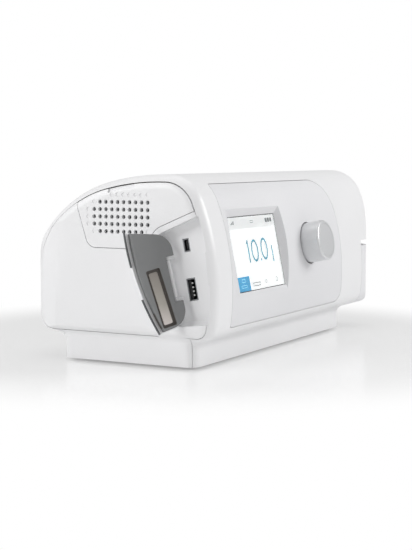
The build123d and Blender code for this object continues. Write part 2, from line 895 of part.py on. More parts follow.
def port_door():
    """White door skin with its hinge barrel, drawn closed."""
    skin_layer = outer - body(door_skin)
    door = skin_layer & door_blank(0, 0, 0)
    door = door - notch(notch_depth)
    low = notch_low + 2 * ear_gap + ear_width
    high = notch_top - 2 * ear_gap - ear_width
    leaf_length = notch_depth + leaf_overlap
    leaf = door_plane * Pos(leaf_length / 2, (low + high) / 2, hinge_x_depth - door_skin / 2) * Box(
        leaf_length, high - low, door_skin)
    barrel = rod(hinge_origin + hinge_axis * low, hinge_axis, barrel_radius, high - low)
    door = door + leaf + barrel
    bore_start = hinge_origin + hinge_axis * (low - past)
    return door - rod(bore_start, hinge_axis, pin_radius + running_gap, high - low + 2 * past)


def door_liner_piece():
    """Soft grey liner inside the door, with a long pocket."""
    layer = body(door_skin) - body(door_skin + door_liner)
    liner = layer & door_blank(liner_margin, 0.2, liner_end_margin)
    liner = liner - notch(notch_depth)
    back = hinge_x_depth - door_skin - door_liner
    pocket = door_prism(pocket_face(0), back - 3, back + pocket_depth)
    return liner - pocket


def pocket_face(margin):
    width = pocket_far - pocket_near - 2 * margin
    height = pocket_high - pocket_low - 2 * margin
    middle = Pos((pocket_far + pocket_near) / 2, (pocket_high + pocket_low) / 2) * Rot(0, 0, -pocket_turn)
    return middle * RectangleRounded(width, height, 1.0)


def door_insert():
    """Bright strip on the floor of the liner's pocket."""
    floor_level = hinge_x_depth - door_skin - door_liner + pocket_depth
    return door_prism(pocket_face(insert_margin), floor_level - 0.5, floor_level)


def door_lips():
    """Two soft lips on the door's free edge, with a finger gap between them."""
    lips = []
    band = across(profile(rim_width + door_gap - lip_depth), left_x - 20, left_x + 20) - across(
        profile(rim_width + door_gap), left_x - 21, left_x + 21)
    layer = body(door_skin - lip_thick) - body(door_skin)
    for low, high in (lip_upper, lip_lower):
        middle = (lip_near + door_far) / 2
        cut = door_plane * Pos(middle, (low + high) / 2, 0) * Box(door_far - lip_near, high - low, 30)
        lips.append(layer & band & cut & door_blank(-lip_depth - 1, 0, 0))
    return lips


def opened(piece):
    """A door piece turned from closed to the open position in which the machine is shown."""
    return piece.rotate(Axis(hinge_origin, hinge_axis), -door_open)


def hinge_pin():
    start = hinge_origin + hinge_axis * (notch_low + ear_gap)
    return rod(start, hinge_axis, pin_radius, notch_top - notch_low - 2 * ear_gap)


def socket_shell(y, z, width, height, length):
    """Plated socket can, open towards the recess."""
    x = left_x + recess_depth
    place = Pos(x + length / 2 + socket_set_back, y, z) * Rot(-socket_lean, 0, 0)
    can = place * Box(length, width, height)
    return can - place * Pos(-usb_wall, 0, 0) * Box(length, width - 2 * usb_wall, height - 2 * usb_wall)


def usb_tongue():
    """Black contact carrier inside the larger socket."""
    x = left_x + recess_depth
    place = Pos(x + usb_length / 2 + socket_set_back, usb_y, usb_z) * Rot(-socket_lean, 0, 0)
    length = usb_length - usb_wall - tongue_end_gap
    height = usb_height - 2 * usb_wall - 2 * tongue_side_gap
    tongue = place * Pos(usb_wall / 2, usb_width / 2 - usb_wall - 1.0, 0) * Box(length, tongue_thick, height)
    return tongue & (place * Box(usb_length, usb_width - 2 * usb_wall, usb_height))


def mini_tongue():
    x = left_x + recess_depth
    place = Pos(x + mini_length / 2 + socket_set_back, mini_y, mini_z) * Rot(-socket_lean, 0, 0)
    length = mini_length - usb_wall - tongue_end_gap
    height = mini_height - 2 * usb_wall - 2 * mini_tongue_side_gap
    return place * Pos(usb_wall / 2, 0, 0) * Box(length, mini_tongue_thick, height)


def port_board():
    """Small board on which the two sockets stand."""
    x = left_x + recess_depth + usb_length + socket_set_back
    board = block(x, x + board_thick, -6, 19, 36, 84)
    return board & near_inner


def port_board_posts():
    """Spacer between the board and the shorter socket."""
    x0 = left_x + recess_depth + mini_length + socket_set_back
    x1 = left_x + recess_depth + usb_length + socket_set_back
    return block(x0, x1, mini_y - 2, mini_y + 2, mini_z - 3, mini_z + 3)


def dock_wall():
    """Inner end wall behind the end cover, with a shelf that closes the finger groove."""
    room = near_inner
    upright = room & block(end_seam_x - seam_gap - end_wall_thick, end_seam_x - seam_gap, -beyond, beyond,
                           0, end_cover_top + end_groove + end_wall_thick)
    shelf = room & block(end_seam_x - seam_gap - 0.5, right_x, -beyond, beyond,
                         end_cover_top + end_groove, end_cover_top + end_groove + end_wall_thick)
    return upright + shelf


def end_cover():
    """Pull-off cap on the lower right end."""
    cap = skin & block(end_seam_x, right_x + past, -beyond, beyond, 0, end_cover_top)
    roof = body(wall + 1.4) & block(end_seam_x, right_x, -beyond, beyond, end_cover_top - wall, end_cover_top)
    ring = outer & block(end_seam_x, right_x + past, -beyond, beyond, end_cover_top - wall, end_cover_top)
    return cap + roof + ring


def motor_face(radius, hole):
    return Pos(blower_y, blower_z) * (Circle(radius) - Circle(hole))


def volute_face(inset):
    """Outline of the blower in (Y, Z): a round chamber with a straight outlet."""
    radius = blower_radius - inset
    low = blower_z - blower_radius + inset
    round_part = Pos(blower_y, blower_z) * Circle(radius)
    width = duct_end_y - blower_y + (1 if inset else 0)
    height = duct_height + 2 * blower_wall - 2 * inset
    outlet = Pos(blower_y + width / 2, low + height / 2) * Rectangle(width, height)
    return round_part + outlet


def blower_case(side):
    """One half of the blower case: inlet side -1, motor side +1."""
    middle = blower_x + blower_width / 2
    x0, x1 = (blower_x, middle) if side < 0 else (middle, blower_x + blower_width)
    hollow0, hollow1 = (x0 + blower_wall, x1) if side < 0 else (x0, x1 - blower_wall)
    half = across(volute_face(0), x0, x1) - across(volute_face(blower_wall), hollow0, hollow1)
    if side < 0:
        half = half - rod((x0 - 1, blower_y, blower_z), (1, 0, 0), inlet_radius, blower_wall + 2)
        return half
    half = half - rod((x0, blower_y, blower_z), (1, 0, 0), bearing_radius, blower_width)
    return half


def blower_saddle():
    """Saddle under the blower that stands on the rubber mounts."""
    x = blower_x + blower_width / 2
    low = blower_foot_z()
    saddle = block(x - 7, x + 7, blower_y - 27, blower_y + 27, low, blower_z - blower_radius + 9)
    trough = across(volute_face(-0.1), blower_x - 5, blower_x + blower_width + 5)
    return saddle - trough


def rubber_mounts():
    low = blower_foot_z() - mount_height
    return [rod((x, y, low), (0, 0, 1), mount_radius, mount_height) for x, y in blower_feet()]


def motor_can():
    """Motor shell and windings as one ring on the back of the blower case."""
    x0 = blower_x + blower_width
    can = across(motor_face(motor_radius, magnet_radius + 1.0), x0, x0 + motor_length - 2)
    lid = across(motor_face(motor_radius, bearing_radius), x0 + motor_length - 2, x0 + motor_length + 2)
    return can + lid


def bearings():
    first = blower_x + blower_width - blower_wall
    second = blower_x + blower_width + motor_length - 2
    ring = motor_face(bearing_radius, rotor_radius + running_gap)
    return [across(ring, first, first + blower_wall), across(ring, second, second + bearing_width)]


def rotor():
    """Shaft and magnet."""
    start = blower_x + blower_wall + impeller_gap + 1.0
    end = blower_x + blower_width + motor_length + 1.0
    shaft = rod((start, blower_y, blower_z), (1, 0, 0), rotor_radius, end - start)
    magnet_start = blower_x + blower_width + 3.0
    return shaft + rod((magnet_start, blower_y, blower_z), (1, 0, 0), magnet_radius, motor_length - 8.0)


def impeller():
    """Open impeller with backward-curved blades on a back plate."""
    x0 = blower_x + blower_wall + impeller_gap
    x1 = x0 + impeller_width
    wheel = rod((x1 - 1.5, blower_y, blower_z), (1, 0, 0), impeller_radius, 1.5)
    wheel = wheel + rod((x0 + 2, blower_y, blower_z), (1, 0, 0), impeller_hub, impeller_width - 2)
    arc_radius = impeller_radius * 0.62
    ring = Circle(arc_radius + blade_thick / 2) - Circle(arc_radius - blade_thick / 2)
    blade = (Pos(arc_radius, 0) * ring) & (Circle(impeller_radius - 0.3) - Circle(impeller_hub - 0.8))
    quarter = Pos(impeller_radius, impeller_radius) * Rectangle(2 * impeller_radius, 2 * impeller_radius)
    blade = blade & quarter
    for number in range(impeller_blades):
        turned = Pos(blower_y, blower_z) * Rot(0, 0, number * 360 / impeller_blades) * blade
        wheel = wheel + across(turned, x0, x1 - 1.0)
    return wheel - rod((x0 - 5, blower_y, blower_z), (1, 0, 0), rotor_radius, impeller_width + 10)


def inlet_gasket():
    """Soft ring between the silencer box and the blower's inlet."""
    face = motor_face(inlet_radius + 4, inlet_radius)
    return across(face, muffler_right(), blower_x)


def muffler_right():
    return blower_x - 3.0


def muffler_box():
    """Silencer box: open top, inlet on the left, outlet collar on the right."""
    lid_seat = muffler_high - lid_thick
    box = block(muffler_left, muffler_right(), muffler_front, muffler_back, muffler_low, lid_seat)
    hollow = block(muffler_left + muffler_wall, muffler_right() - muffler_wall, muffler_front + muffler_wall,
                   muffler_back - muffler_wall, muffler_low + muffler_wall, muffler_high)
    box = box - hollow
    box = box - rod((muffler_right() - 5, blower_y, blower_z), (1, 0, 0), inlet_radius, 10)
    throat_end = left_x + wall + filter_stand_off + filter_thick + tray_wall
    throat = block(throat_end, muffler_left + 1, muffler_front, filter_back_y - 2, filter_low_z, lid_seat)
    box = box + throat
    return box - block(throat_end - 1, muffler_left + 5, muffler_front + muffler_wall, filter_back_y - 4,
                       filter_low_z + muffler_wall, lid_seat - muffler_wall)


def muffler_lid():
    lid_seat = muffler_high - lid_thick
    return block(muffler_left, muffler_right(), muffler_front, muffler_back, lid_seat, muffler_high)


def muffler_foam():
    """Two foam blocks that line the silencer and leave a winding way for the air."""
    low = muffler_low + muffler_wall + 0.1
    high = muffler_high - lid_thick - 0.3
    back = muffler_back - muffler_wall - 0.2
    front = muffler_front + muffler_wall + 0.2
    first = block(muffler_left + 34, muffler_left + 52, front, back - 16, low, high)
    second = block(muffler_left + 74, muffler_left + 92, front + 16, back, low, high)
    return [first, second]


def outlet_duct():
    """Soft duct from the blower's square outlet to the round rear spigot."""
    start = duct_end_y
    end = spigot_start_y
    z = spigot_z()
    wide = (blower_width, duct_height + 2 * blower_wall)
    first = Plane(origin=(spigot_x, start, z), x_dir=(1, 0, 0), z_dir=(0, 1, 0)) * Rectangle(*wide)
    second = Plane(origin=(spigot_x, end, z), x_dir=(1, 0, 0), z_dir=(0, 1, 0)) * Circle(spigot_collar)
    shape = loft([first, second])
    inner_first = Plane(origin=(spigot_x, start, z), x_dir=(1, 0, 0), z_dir=(0, 1, 0)) * Rectangle(
        wide[0] - 4, wide[1] - 4)
    inner_second = Plane(origin=(spigot_x, end, z), x_dir=(1, 0, 0), z_dir=(0, 1, 0)) * Circle(spigot_bore)
    return shape - loft([inner_first, inner_second])


def outlet_spigot():
    """Air outlet: collar inside the shell, slimmer neck through it and the hose's fit outside."""
    z = spigot_z()
    start = (spigot_x, spigot_start_y, z)
    collar = rod(start, (0, 1, 0), spigot_collar, spigot_collar_thick)
    fit_start = body_back_y + spigot_stand_off
    neck = rod(start, (0, 1, 0), spigot_radius - spigot_neck, fit_start - spigot_start_y)
    pipe = rod((spigot_x, fit_start, z), (0, 1, 0), spigot_radius, spigot_length)
    end = chamfer((collar + neck + pipe).edges().filter_by(GeomType.CIRCLE).sort_by(Axis.Y)[-1], spigot_edge)
    return end - rod((spigot_x, spigot_start_y - 1, z), (0, 1, 0), spigot_bore, beyond)


def flow_sensor():
    """Flow and pressure sensor on the side of the blower's outlet."""
    x = blower_x + blower_width
    z = spigot_z() - sensor_size
    y = duct_end_y - sensor_size - 2
    return block(x, x + sensor_size, y, y + sensor_size, z, z + sensor_size)


def power_jack():
    """Direct-current inlet at the back."""
    x0, x1, y0, y1, z0, z1 = jack_box(0)
    jack = block(x0, x1, y0, y1, z0, z1)
    jack = jack - rod((jack_x, y1 - jack_bore_depth, jack_z), (0, 1, 0), jack_bore, 40)
    return jack + rod((jack_x, y1 - jack_bore_depth, jack_z), (0, 1, 0), 1.0, jack_bore_depth - 1.0)


def power_board():
    """Board under the jack."""
    x0, x1, y0, y1, z0, z1 = jack_box(0)
    return block(x0 - 8, x1 + 8, y0 - 6, y1 - 4, z0 - board_thick, z0)


def speaker():
    return rod((speaker_x, speaker_y, floor_z), (0, 0, 1), speaker_radius, speaker_height)


def main_board():
    return block(main_board_left, main_board_right, main_board_y, main_board_y + board_thick,
                 main_board_low, main_board_high)


def board_chips():
    """Parts on the main board: processor, memory, driver, connector and capacitors."""
    y = main_board_y + board_thick
    parts = [block(-60, -42, y, y + 1.6, 60, 78), block(-32, -20, y, y + 1.2, 62, 74),
             block(20, 34, y, y + 1.8, 40, 54), block(-8, 10, y, y + 3.0, 84, 90)]
    for x in (44, 56, 68):
        parts.append(rod((x, y, 80), (0, 1, 0), 3.0, 1.3))
    return parts


def ribbon_cable():
    """Flat ribbon from the display board to the main board."""
    local = screen_plane.from_local_coords((20, frame_low + 8, board_level - board_thick))
    x = local.X
    drop = block(x - ribbon_width / 2, x + ribbon_width / 2, local.Y, main_board_y,
                 local.Z, local.Z + ribbon_thick)
    cut = screen_block(-80, 80, -60, 60, board_level - board_thick, 60)
    return drop - cut


def save(parts):
    """Move everything so that the footprint's middle is the origin, and write the pieces."""
    os.makedirs("parts", exist_ok=True)
    solids = []
    for pieces in parts.values():
        solids.extend(pieces if isinstance(pieces, list) else [pieces])
    whole = Compound(children=[s.solid() if len(s.solids()) == 1 else s for s in solids]).bounding_box()
    shift = Vector(-(whole.min.X + whole.max.X) / 2, -(whole.min.Y + whole.max.Y) / 2, -whole.min.Z)
    for name, pieces in parts.items():
        group = pieces if isinstance(pieces, list) else [pieces]
        moved = [Pos(shift) * solid for piece in group for solid in piece.solids()]
        export_step(moved[0] if len(moved) == 1 else Compound(children=moved), f"parts/{name}.step")
    print("shift", [round(v, 4) for v in shift])
    print("size", [round(v, 3) for v in whole.size])
    return shift


parts = {
    "front_shell": front_shell(),
    "main_shell": main_shell(),
    "bottom_case": bottom_case(),
    "side_cover": side_cover(),
    "dock_wall": dock_wall(),
    "rubber_feet": feet(),
    "case_screws": case_screws(),
    "front_panel": front_panel(),
    "screen_glass": screen_glass(),
    "lcd_module": lcd_module(),
    "display_frame": display_frame(),
    "display_board": display_board(),
    "encoder_body": encoder_body(),
    "encoder_plunger": encoder_plunger(),
    "encoder_shaft": encoder_shaft(),
    "knob": knob(),
    "knob_cap": knob_cap(),
    "main_board": main_board(),
    "board_chips": board_chips(),
    "ribbon_cable": ribbon_cable(),
    "hinge_pin": hinge_pin(),
    "port_door": opened(port_door()),
    "door_liner": opened(door_liner_piece()),
    "door_insert": opened(door_insert()),
    "door_lips": [opened(lip) for lip in door_lips()],
    "usb_socket": socket_shell(usb_y, usb_z, usb_width, usb_height, usb_length),
    "usb_tongue": usb_tongue(),
    "service_socket": socket_shell(mini_y, mini_z, mini_width, mini_height, mini_length),
    "service_tongue": mini_tongue(),
    "port_board": port_board() + port_board_posts(),
    "filter_cover": filter_cover(),
    "filter_tray": filter_tray(),
    "air_filter": air_filter(),
    "end_cover": end_cover(),
    "muffler_box": muffler_box(),
    "muffler_lid": muffler_lid(),
    "muffler_foam": muffler_foam(),
    "inlet_gasket": inlet_gasket(),
    "blower_case_inlet": blower_case(-1),
    "blower_case_motor": blower_case(1),
    "blower_saddle": blower_saddle(),
    "rubber_mounts": rubber_mounts(),
    "motor_can": motor_can(),
    "motor_bearings": bearings(),
    "rotor": rotor(),
    "impeller": impeller(),
    "outlet_duct": outlet_duct(),
    "outlet_spigot": outlet_spigot(),
    "flow_sensor": flow_sensor(),
    "power_jack": power_jack(),
    "power_board": power_board(),
    "speaker": speaker(),
}

shift = save(parts)
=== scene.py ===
import bpy
import math
from mathutils import Matrix, Vector


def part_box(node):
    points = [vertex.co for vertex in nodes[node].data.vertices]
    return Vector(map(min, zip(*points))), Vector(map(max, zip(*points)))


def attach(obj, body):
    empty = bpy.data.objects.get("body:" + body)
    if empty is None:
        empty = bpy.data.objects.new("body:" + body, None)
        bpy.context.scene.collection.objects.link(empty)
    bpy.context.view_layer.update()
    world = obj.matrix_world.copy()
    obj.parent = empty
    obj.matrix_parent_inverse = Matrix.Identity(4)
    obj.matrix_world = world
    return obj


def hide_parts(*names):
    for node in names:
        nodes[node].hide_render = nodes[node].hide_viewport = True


print("loading the packed machine")
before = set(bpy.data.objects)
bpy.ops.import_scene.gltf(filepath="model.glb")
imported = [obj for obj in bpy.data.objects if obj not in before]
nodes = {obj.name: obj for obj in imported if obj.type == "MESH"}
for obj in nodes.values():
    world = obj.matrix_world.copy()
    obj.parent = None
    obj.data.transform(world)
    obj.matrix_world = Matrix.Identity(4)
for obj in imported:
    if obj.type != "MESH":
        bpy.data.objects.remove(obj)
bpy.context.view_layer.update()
mm = 0.001

# Places below are in the housing's own millimetres, in which the main board's lowest corner is known
boardCorner = Vector((-106.0, 21.0, 6.0))
housingOrigin = Vector(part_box("main_board")[0]) - boardCorner * mm


def inFrame(place):
    return housingOrigin + Vector(place) * mm


def toLinear(hexColour):
    channels = [int(hexColour[i:i + 2], 16) / 255 for i in (1, 3, 5)]
    return [c / 12.92 if c <= 0.04045 else ((c + 0.055) / 1.055) ** 2.4 for c in channels] + [1.0]


def addNode(tree, kind, settings=None, links=None):
    node = tree.nodes.new(kind)
    for key, value in (settings or {}).items():
        if isinstance(key, int) or key in node.inputs:
            node.inputs[key].default_value = value
        else:
            setattr(node, key, value)
    for key, source in (links or {}).items():
        tree.links.new(source, node.inputs[key])
    return node


def startMaterial(name, settings=None):
    material = bpy.data.materials.new(name)
    material.use_nodes = True
    tree = material.node_tree
    tree.nodes.clear()
    place = addNode(tree, "ShaderNodeTexCoord").outputs["Object"]
    shader = addNode(tree, "ShaderNodeBsdfPrincipled", settings)
    output = addNode(tree, "ShaderNodeOutputMaterial", {}, {"Surface": shader.outputs["BSDF"]})
    return material, tree, place, shader, output


def feedShader(tree, shader, sources):
    for socket, source in sources.items():
        tree.links.new(source, shader.inputs[socket])


print("making the finishes")
# Lengths in the finishes' settings are in millimetres; a spread is a share of the roughness, up and down
plastic = {"drift": 60, "driftDetail": 2.0, "grainDetail": 3.0, "spread": 0.12, "strength": 0.35}
metal = {"stretch": 40, "detail": 2.0, "spread": 0.25, "strength": 0.25, "depth": 0.01}
paint = {"flake": 0.35, "cloud": 50, "detail": 2.0, "cloudShare": 0.7, "spread": 0.15, "strength": 0.08,
         "depth": 0.01}
rubber = {"bloom": 12, "bloomDetail": 4.0, "pore": 0.4, "poreDetail": 2.0, "spread": 0.1, "specular": 0.35,
          "strength": 0.3, "depth": 0.03}
board = {"gap": 0.35, "width": 9, "row": 2, "roughness": 0.32, "strength": 0.3, "depth": 0.03,
         "mask": "#0f5a34", "shade": "#0c4f2e", "track": "#2b7a48"}
cloth = {"roughness": 0.95, "sheen": 0.25, "fluff": 0.5, "fluffDetail": 5.0, "strength": 0.6, "depth": 0.3}
pixel = {"pitch": 0.2, "gridShare": 0.015, "roughness": 0.6}
glass = {"ior": 1.5, "grease": 30, "detail": 3.0, "low": "#fbfdfd", "high": "#ffffff", "roughness": (0.03, 0.09)}
film = {"metallic": 0.6, "middleAt": 0.6, "streak": 0.6, "detail": 2.0, "roughness": (0.28, 0.4)}


def mouldedPlastic(name, low, high, roughness, grain, depth):
    # injection-moulded thermoplastic: an even colour with a very slight drift, and a fine spark-eroded grain
    material, tree, place, shader, output = startMaterial(name, {"IOR": 1.5})
    drift = addNode(tree, "ShaderNodeTexNoise",
                    {"Scale": 1 / (plastic["drift"] * mm), "Detail": plastic["driftDetail"]}, {"Vector": place})
    skin = addNode(tree, "ShaderNodeTexNoise",
                   {"Scale": 1 / (grain * mm), "Detail": plastic["grainDetail"]}, {"Vector": place})
    colour = addNode(tree, "ShaderNodeMix", {"data_type": "RGBA", 6: toLinear(low), 7: toLinear(high)},
                     {0: drift.outputs["Fac"]})
    gloss = addNode(tree, "ShaderNodeMapRange",
                    {"To Min": roughness * (1 - plastic["spread"]), "To Max": roughness * (1 + plastic["spread"])},
                    {"Value": skin.outputs["Fac"]})
    bump = addNode(tree, "ShaderNodeBump", {"Strength": plastic["strength"], "Distance": depth * mm},
                   {"Height": skin.outputs["Fac"]})
    feedShader(tree, shader, {"Base Color": colour.outputs[2], "Roughness": gloss.outputs["Result"],
                              "Normal": bump.outputs["Normal"]})
    return material


def sheetMetal(name, low, high, roughness, along, lineWidth):
    # drawn or ground metal: fine lines along one direction, full metallic
    material, tree, place, shader, output = startMaterial(name, {"Metallic": 1.0})
    stretch = [1 / (lineWidth * mm)] * 3
    stretch[along] = 1 / (metal["stretch"] * lineWidth * mm)
    turned = addNode(tree, "ShaderNodeMapping", {"Scale": stretch}, {"Vector": place})
    lines = addNode(tree, "ShaderNodeTexNoise", {"Scale": 1.0, "Detail": metal["detail"]},
                    {"Vector": turned.outputs["Vector"]})
    colour = addNode(tree, "ShaderNodeMix", {"data_type": "RGBA", 6: toLinear(low), 7: toLinear(high)},
                     {0: lines.outputs["Fac"]})
    gloss = addNode(tree, "ShaderNodeMapRange",
                    {"To Min": roughness * (1 - metal["spread"]), "To Max": roughness * (1 + metal["spread"])},
                    {"Value": lines.outputs["Fac"]})
    bump = addNode(tree, "ShaderNodeBump", {"Strength": metal["strength"], "Distance": metal["depth"] * mm},
                   {"Height": lines.outputs["Fac"]})
    feedShader(tree, shader, {"Base Color": colour.outputs[2], "Roughness": gloss.outputs["Result"],
                              "Normal": bump.outputs["Normal"]})
    return material


def flakePaint(name, low, high, metallic, roughness):
    # base coat under lacquer: metal flakes, drawn coarse enough to show, over a soft cloud
    material, tree, place, shader, output = startMaterial(name, {"Metallic": metallic})
    flake = addNode(tree, "ShaderNodeTexVoronoi", {"Scale": 1 / (paint["flake"] * mm)}, {"Vector": place})
    soft = addNode(tree, "ShaderNodeTexNoise",
                   {"Scale": 1 / (paint["cloud"] * mm), "Detail": paint["detail"]}, {"Vector": place})
    value = addNode(tree, "ShaderNodeMix", {"data_type": "FLOAT", 0: paint["cloudShare"]},
                    {2: flake.outputs["Color"], 3: soft.outputs["Fac"]})
    colour = addNode(tree, "ShaderNodeMix", {"data_type": "RGBA", 6: toLinear(low), 7: toLinear(high)},
                     {0: value.outputs[0]})
    gloss = addNode(tree, "ShaderNodeMapRange",
                    {"To Min": roughness * (1 - paint["spread"]), "To Max": roughness * (1 + paint["spread"])},
                    {"Value": value.outputs[0]})
    bump = addNode(tree, "ShaderNodeBump", {"Strength": paint["strength"], "Distance": paint["depth"] * mm},
                   {"Height": flake.outputs["Distance"]})
    feedShader(tree, shader, {"Base Color": colour.outputs[2], "Roughness": gloss.outputs["Result"],
                              "Normal": bump.outputs["Normal"]})
    return material


def softRubber(name, low, high, roughness):
    # moulded elastomer: matt with a bloom of slightly paler patches
    material, tree, place, shader, output = startMaterial(name, {"Specular IOR Level": rubber["specular"]})
    bloom = addNode(tree, "ShaderNodeTexNoise",
                    {"Scale": 1 / (rubber["bloom"] * mm), "Detail": rubber["bloomDetail"]}, {"Vector": place})
    pores = addNode(tree, "ShaderNodeTexNoise",
                    {"Scale": 1 / (rubber["pore"] * mm), "Detail": rubber["poreDetail"]}, {"Vector": place})
    colour = addNode(tree, "ShaderNodeMix", {"data_type": "RGBA", 6: toLinear(low), 7: toLinear(high)},
                     {0: bloom.outputs["Fac"]})
    gloss = addNode(tree, "ShaderNodeMapRange",
                    {"To Min": roughness * (1 - rubber["spread"]), "To Max": roughness},
                    {"Value": pores.outputs["Fac"]})
    bump = addNode(tree, "ShaderNodeBump", {"Strength": rubber["strength"], "Distance": rubber["depth"] * mm},
                   {"Height": pores.outputs["Fac"]})
    feedShader(tree, shader, {"Base Color": colour.outputs[2], "Roughness": gloss.outputs["Result"],
                              "Normal": bump.outputs["Normal"]})
    return material


def circuitBoard(name):
    # glass-epoxy laminate under green solder mask, with the copper tracks just showing through
    material, tree, place, shader, output = startMaterial(name, {"Roughness": board["roughness"]})
    tracks = addNode(tree, "ShaderNodeTexBrick",
                     {"Scale": 1.0, "Mortar Size": board["gap"] * mm, "Brick Width": board["width"] * mm,
                      "Row Height": board["row"] * mm, "Color1": toLinear(board["mask"]),
                      "Color2": toLinear(board["shade"]), "Mortar": toLinear(board["track"])},
                     {"Vector": place})
    bump = addNode(tree, "ShaderNodeBump", {"Strength": board["strength"], "Distance": board["depth"] * mm},
                   {"Height": tracks.outputs["Fac"]})
    feedShader(tree, shader, {"Base Color": tracks.outputs["Color"], "Normal": bump.outputs["Normal"]})
    return material


def filterCloth(name, low, high, pitch):
    # non-woven felt or open foam: a soft random mat, drawn coarse enough to show
    material, tree, place, shader, output = startMaterial(
        name, {"Roughness": cloth["roughness"], "Sheen Weight": cloth["sheen"]})
    fibres = addNode(tree, "ShaderNodeTexVoronoi",
                     {"Scale": 1 / (pitch * mm), "feature": "DISTANCE_TO_EDGE"}, {"Vector": place})
    fluff = addNode(tree, "ShaderNodeTexNoise",
                    {"Scale": 1 / (cloth["fluff"] * pitch * mm), "Detail": cloth["fluffDetail"]},
                    {"Vector": place})
    both = addNode(tree, "ShaderNodeMath", {"operation": "ADD"},
                   {0: fibres.outputs["Distance"], 1: fluff.outputs["Fac"]})
    colour = addNode(tree, "ShaderNodeMix", {"data_type": "RGBA", 6: toLinear(low), 7: toLinear(high)},
                     {0: both.outputs[0]})
    bump = addNode(tree, "ShaderNodeBump", {"Strength": cloth["strength"], "Distance": cloth["depth"] * mm},
                   {"Height": both.outputs[0]})
    feedShader(tree, shader, {"Base Color": colour.outputs[2], "Normal": bump.outputs["Normal"]})
    return material


def litPixels(name, colour, glow):
    # liquid-crystal picture: lit from behind, with a faint pixel grid
    material, tree, place, shader, output = startMaterial(
        name, {"Emission Strength": glow, "Roughness": pixel["roughness"]})
    grid = addNode(tree, "ShaderNodeTexChecker", {"Scale": 1 / (pixel["pitch"] * mm)}, {"Vector": place})
    pixels = addNode(tree, "ShaderNodeMix",
                     {"data_type": "RGBA", 0: pixel["gridShare"], 6: toLinear(colour)},
                     {7: grid.outputs["Color"]})
    feedShader(tree, shader, {"Base Color": pixels.outputs[2], "Emission Color": pixels.outputs[2]})
    return material


def coverGlass(name):
    # chemically hardened cover glass, polished, with a trace of finger grease in its roughness
    material, tree, place, shader, output = startMaterial(
        name, {"IOR": glass["ior"], "Transmission Weight": 1.0})
    grease = addNode(tree, "ShaderNodeTexNoise",
                     {"Scale": 1 / (glass["grease"] * mm), "Detail": glass["detail"]}, {"Vector": place})
    colour = addNode(tree, "ShaderNodeMix",
                     {"data_type": "RGBA", 6: toLinear(glass["low"]), 7: toLinear(glass["high"])},
                     {0: grease.outputs["Fac"]})
    gloss = addNode(tree, "ShaderNodeMapRange",
                    {"To Min": glass["roughness"][0], "To Max": glass["roughness"][1]},
                    {"Value": grease.outputs["Fac"]})
    feedShader(tree, shader, {"Base Color": colour.outputs[2], "Roughness": gloss.outputs["Result"]})
    return material


def paintedLightStrip(name, top, middle, bottom, highest, lowest):
    # vacuum-metallised film whose colour is painted light: a painted shade makes it warm and dark at its upper
    # end, and a painted reflection makes it pale at its foot
    material, tree, place, shader, output = startMaterial(name, {"Metallic": film["metallic"]})
    height = addNode(tree, "ShaderNodeSeparateXYZ", {}, {0: place})
    share = addNode(tree, "ShaderNodeMapRange", {"From Min": highest, "From Max": lowest},
                    {"Value": height.outputs["Z"]})
    # the colour follows height alone: painted shade at the top, painted reflection at the foot
    paintedLightTone = addNode(tree, "ShaderNodeValToRGB", {}, {"Fac": share.outputs["Result"]})
    paintedLightTone.color_ramp.elements[0].color = toLinear(top)
    paintedLightTone.color_ramp.elements[1].color = toLinear(bottom)
    paintedLightTone.color_ramp.elements.new(film["middleAt"]).color = toLinear(middle)
    streaks = addNode(tree, "ShaderNodeTexNoise",
                      {"Scale": 1 / (film["streak"] * mm), "Detail": film["detail"]}, {"Vector": place})
    gloss = addNode(tree, "ShaderNodeMapRange",
                    {"To Min": film["roughness"][0], "To Max": film["roughness"][1]},
                    {"Value": streaks.outputs["Fac"]})
    feedShader(tree, shader, {"Base Color": paintedLightTone.outputs["Color"], "Roughness": gloss.outputs["Result"]})
    return material


# the shells: glossy white, even and bright, with soft wide highlights
glossWhiteAbs = mouldedPlastic("gloss_white_abs", "#ececed", "#f1f1f2", 0.3, 0.5, 0.006)
# the end cover and the wall behind it: a slightly cooler white
coolWhiteAbs = mouldedPlastic("cool_white_abs", "#e6e6e8", "#ececee", 0.32, 0.5, 0.006)
# the front panel: a pale silver that goes grey where it turns away from the lamps
satinSilverPaint = flakePaint("satin_silver_paint", "#e0e0e2", "#e8e8ea", 0.05, 0.5)
# the knob: more metallic, with a bright line along its edge
knobAluminium = flakePaint("satin_anodised_aluminium", "#d4d5d7", "#e2e3e4", 0.6, 0.32)
# contact carriers, jack and inner small parts: near black, slightly rough
blackNylon = mouldedPlastic("black_glass_filled_nylon", "#101011", "#17181a", 0.5, 0.3, 0.02)
# inner cases: plain mid grey
greyAbs = mouldedPlastic("grey_abs", "#6d7073", "#787b7e", 0.5, 0.6, 0.02)
# the door's lining, its pocket and its free edge: soft greys; the pocket's darker grey is painted shade, and the
# free edge is a darker grey still
linerElastomer = softRubber("grey_soft_touch_elastomer", "#828384", "#8a8b8b", 0.55)
pocketPaintedShade = softRubber("pocket_painted_shade_grey_elastomer", "#5c5754", "#67625e", 0.5)
lipElastomer = softRubber("dark_grey_elastomer", "#4c4e50", "#5a5c5e", 0.6)
# feet, duct, gasket and mounts: dark and matt
feetRubber = softRubber("dark_silicone_rubber", "#2e2f31", "#3a3b3d", 0.75)
# pins, screws, shaft and motor: bright with fine ground lines
brightSteel = sheetMetal("ground_steel", "#a9abad", "#bfc1c3", 0.3, 0, 0.15)
# the sockets' cans: duller than steel, a thin grey line round the black opening
canTin = sheetMetal("tin_plated_can", "#8d8f92", "#a5a7aa", 0.35, 0, 0.2)
# the socket's contacts: four pale dots in the dark
contactNickel = sheetMetal("nickel_plated_contact", "#e2e2e0", "#f0f0ee", 0.3, 0, 0.1)
# the boards: dark green with paler tracks
boardLaminate = circuitBoard("green_solder_mask")
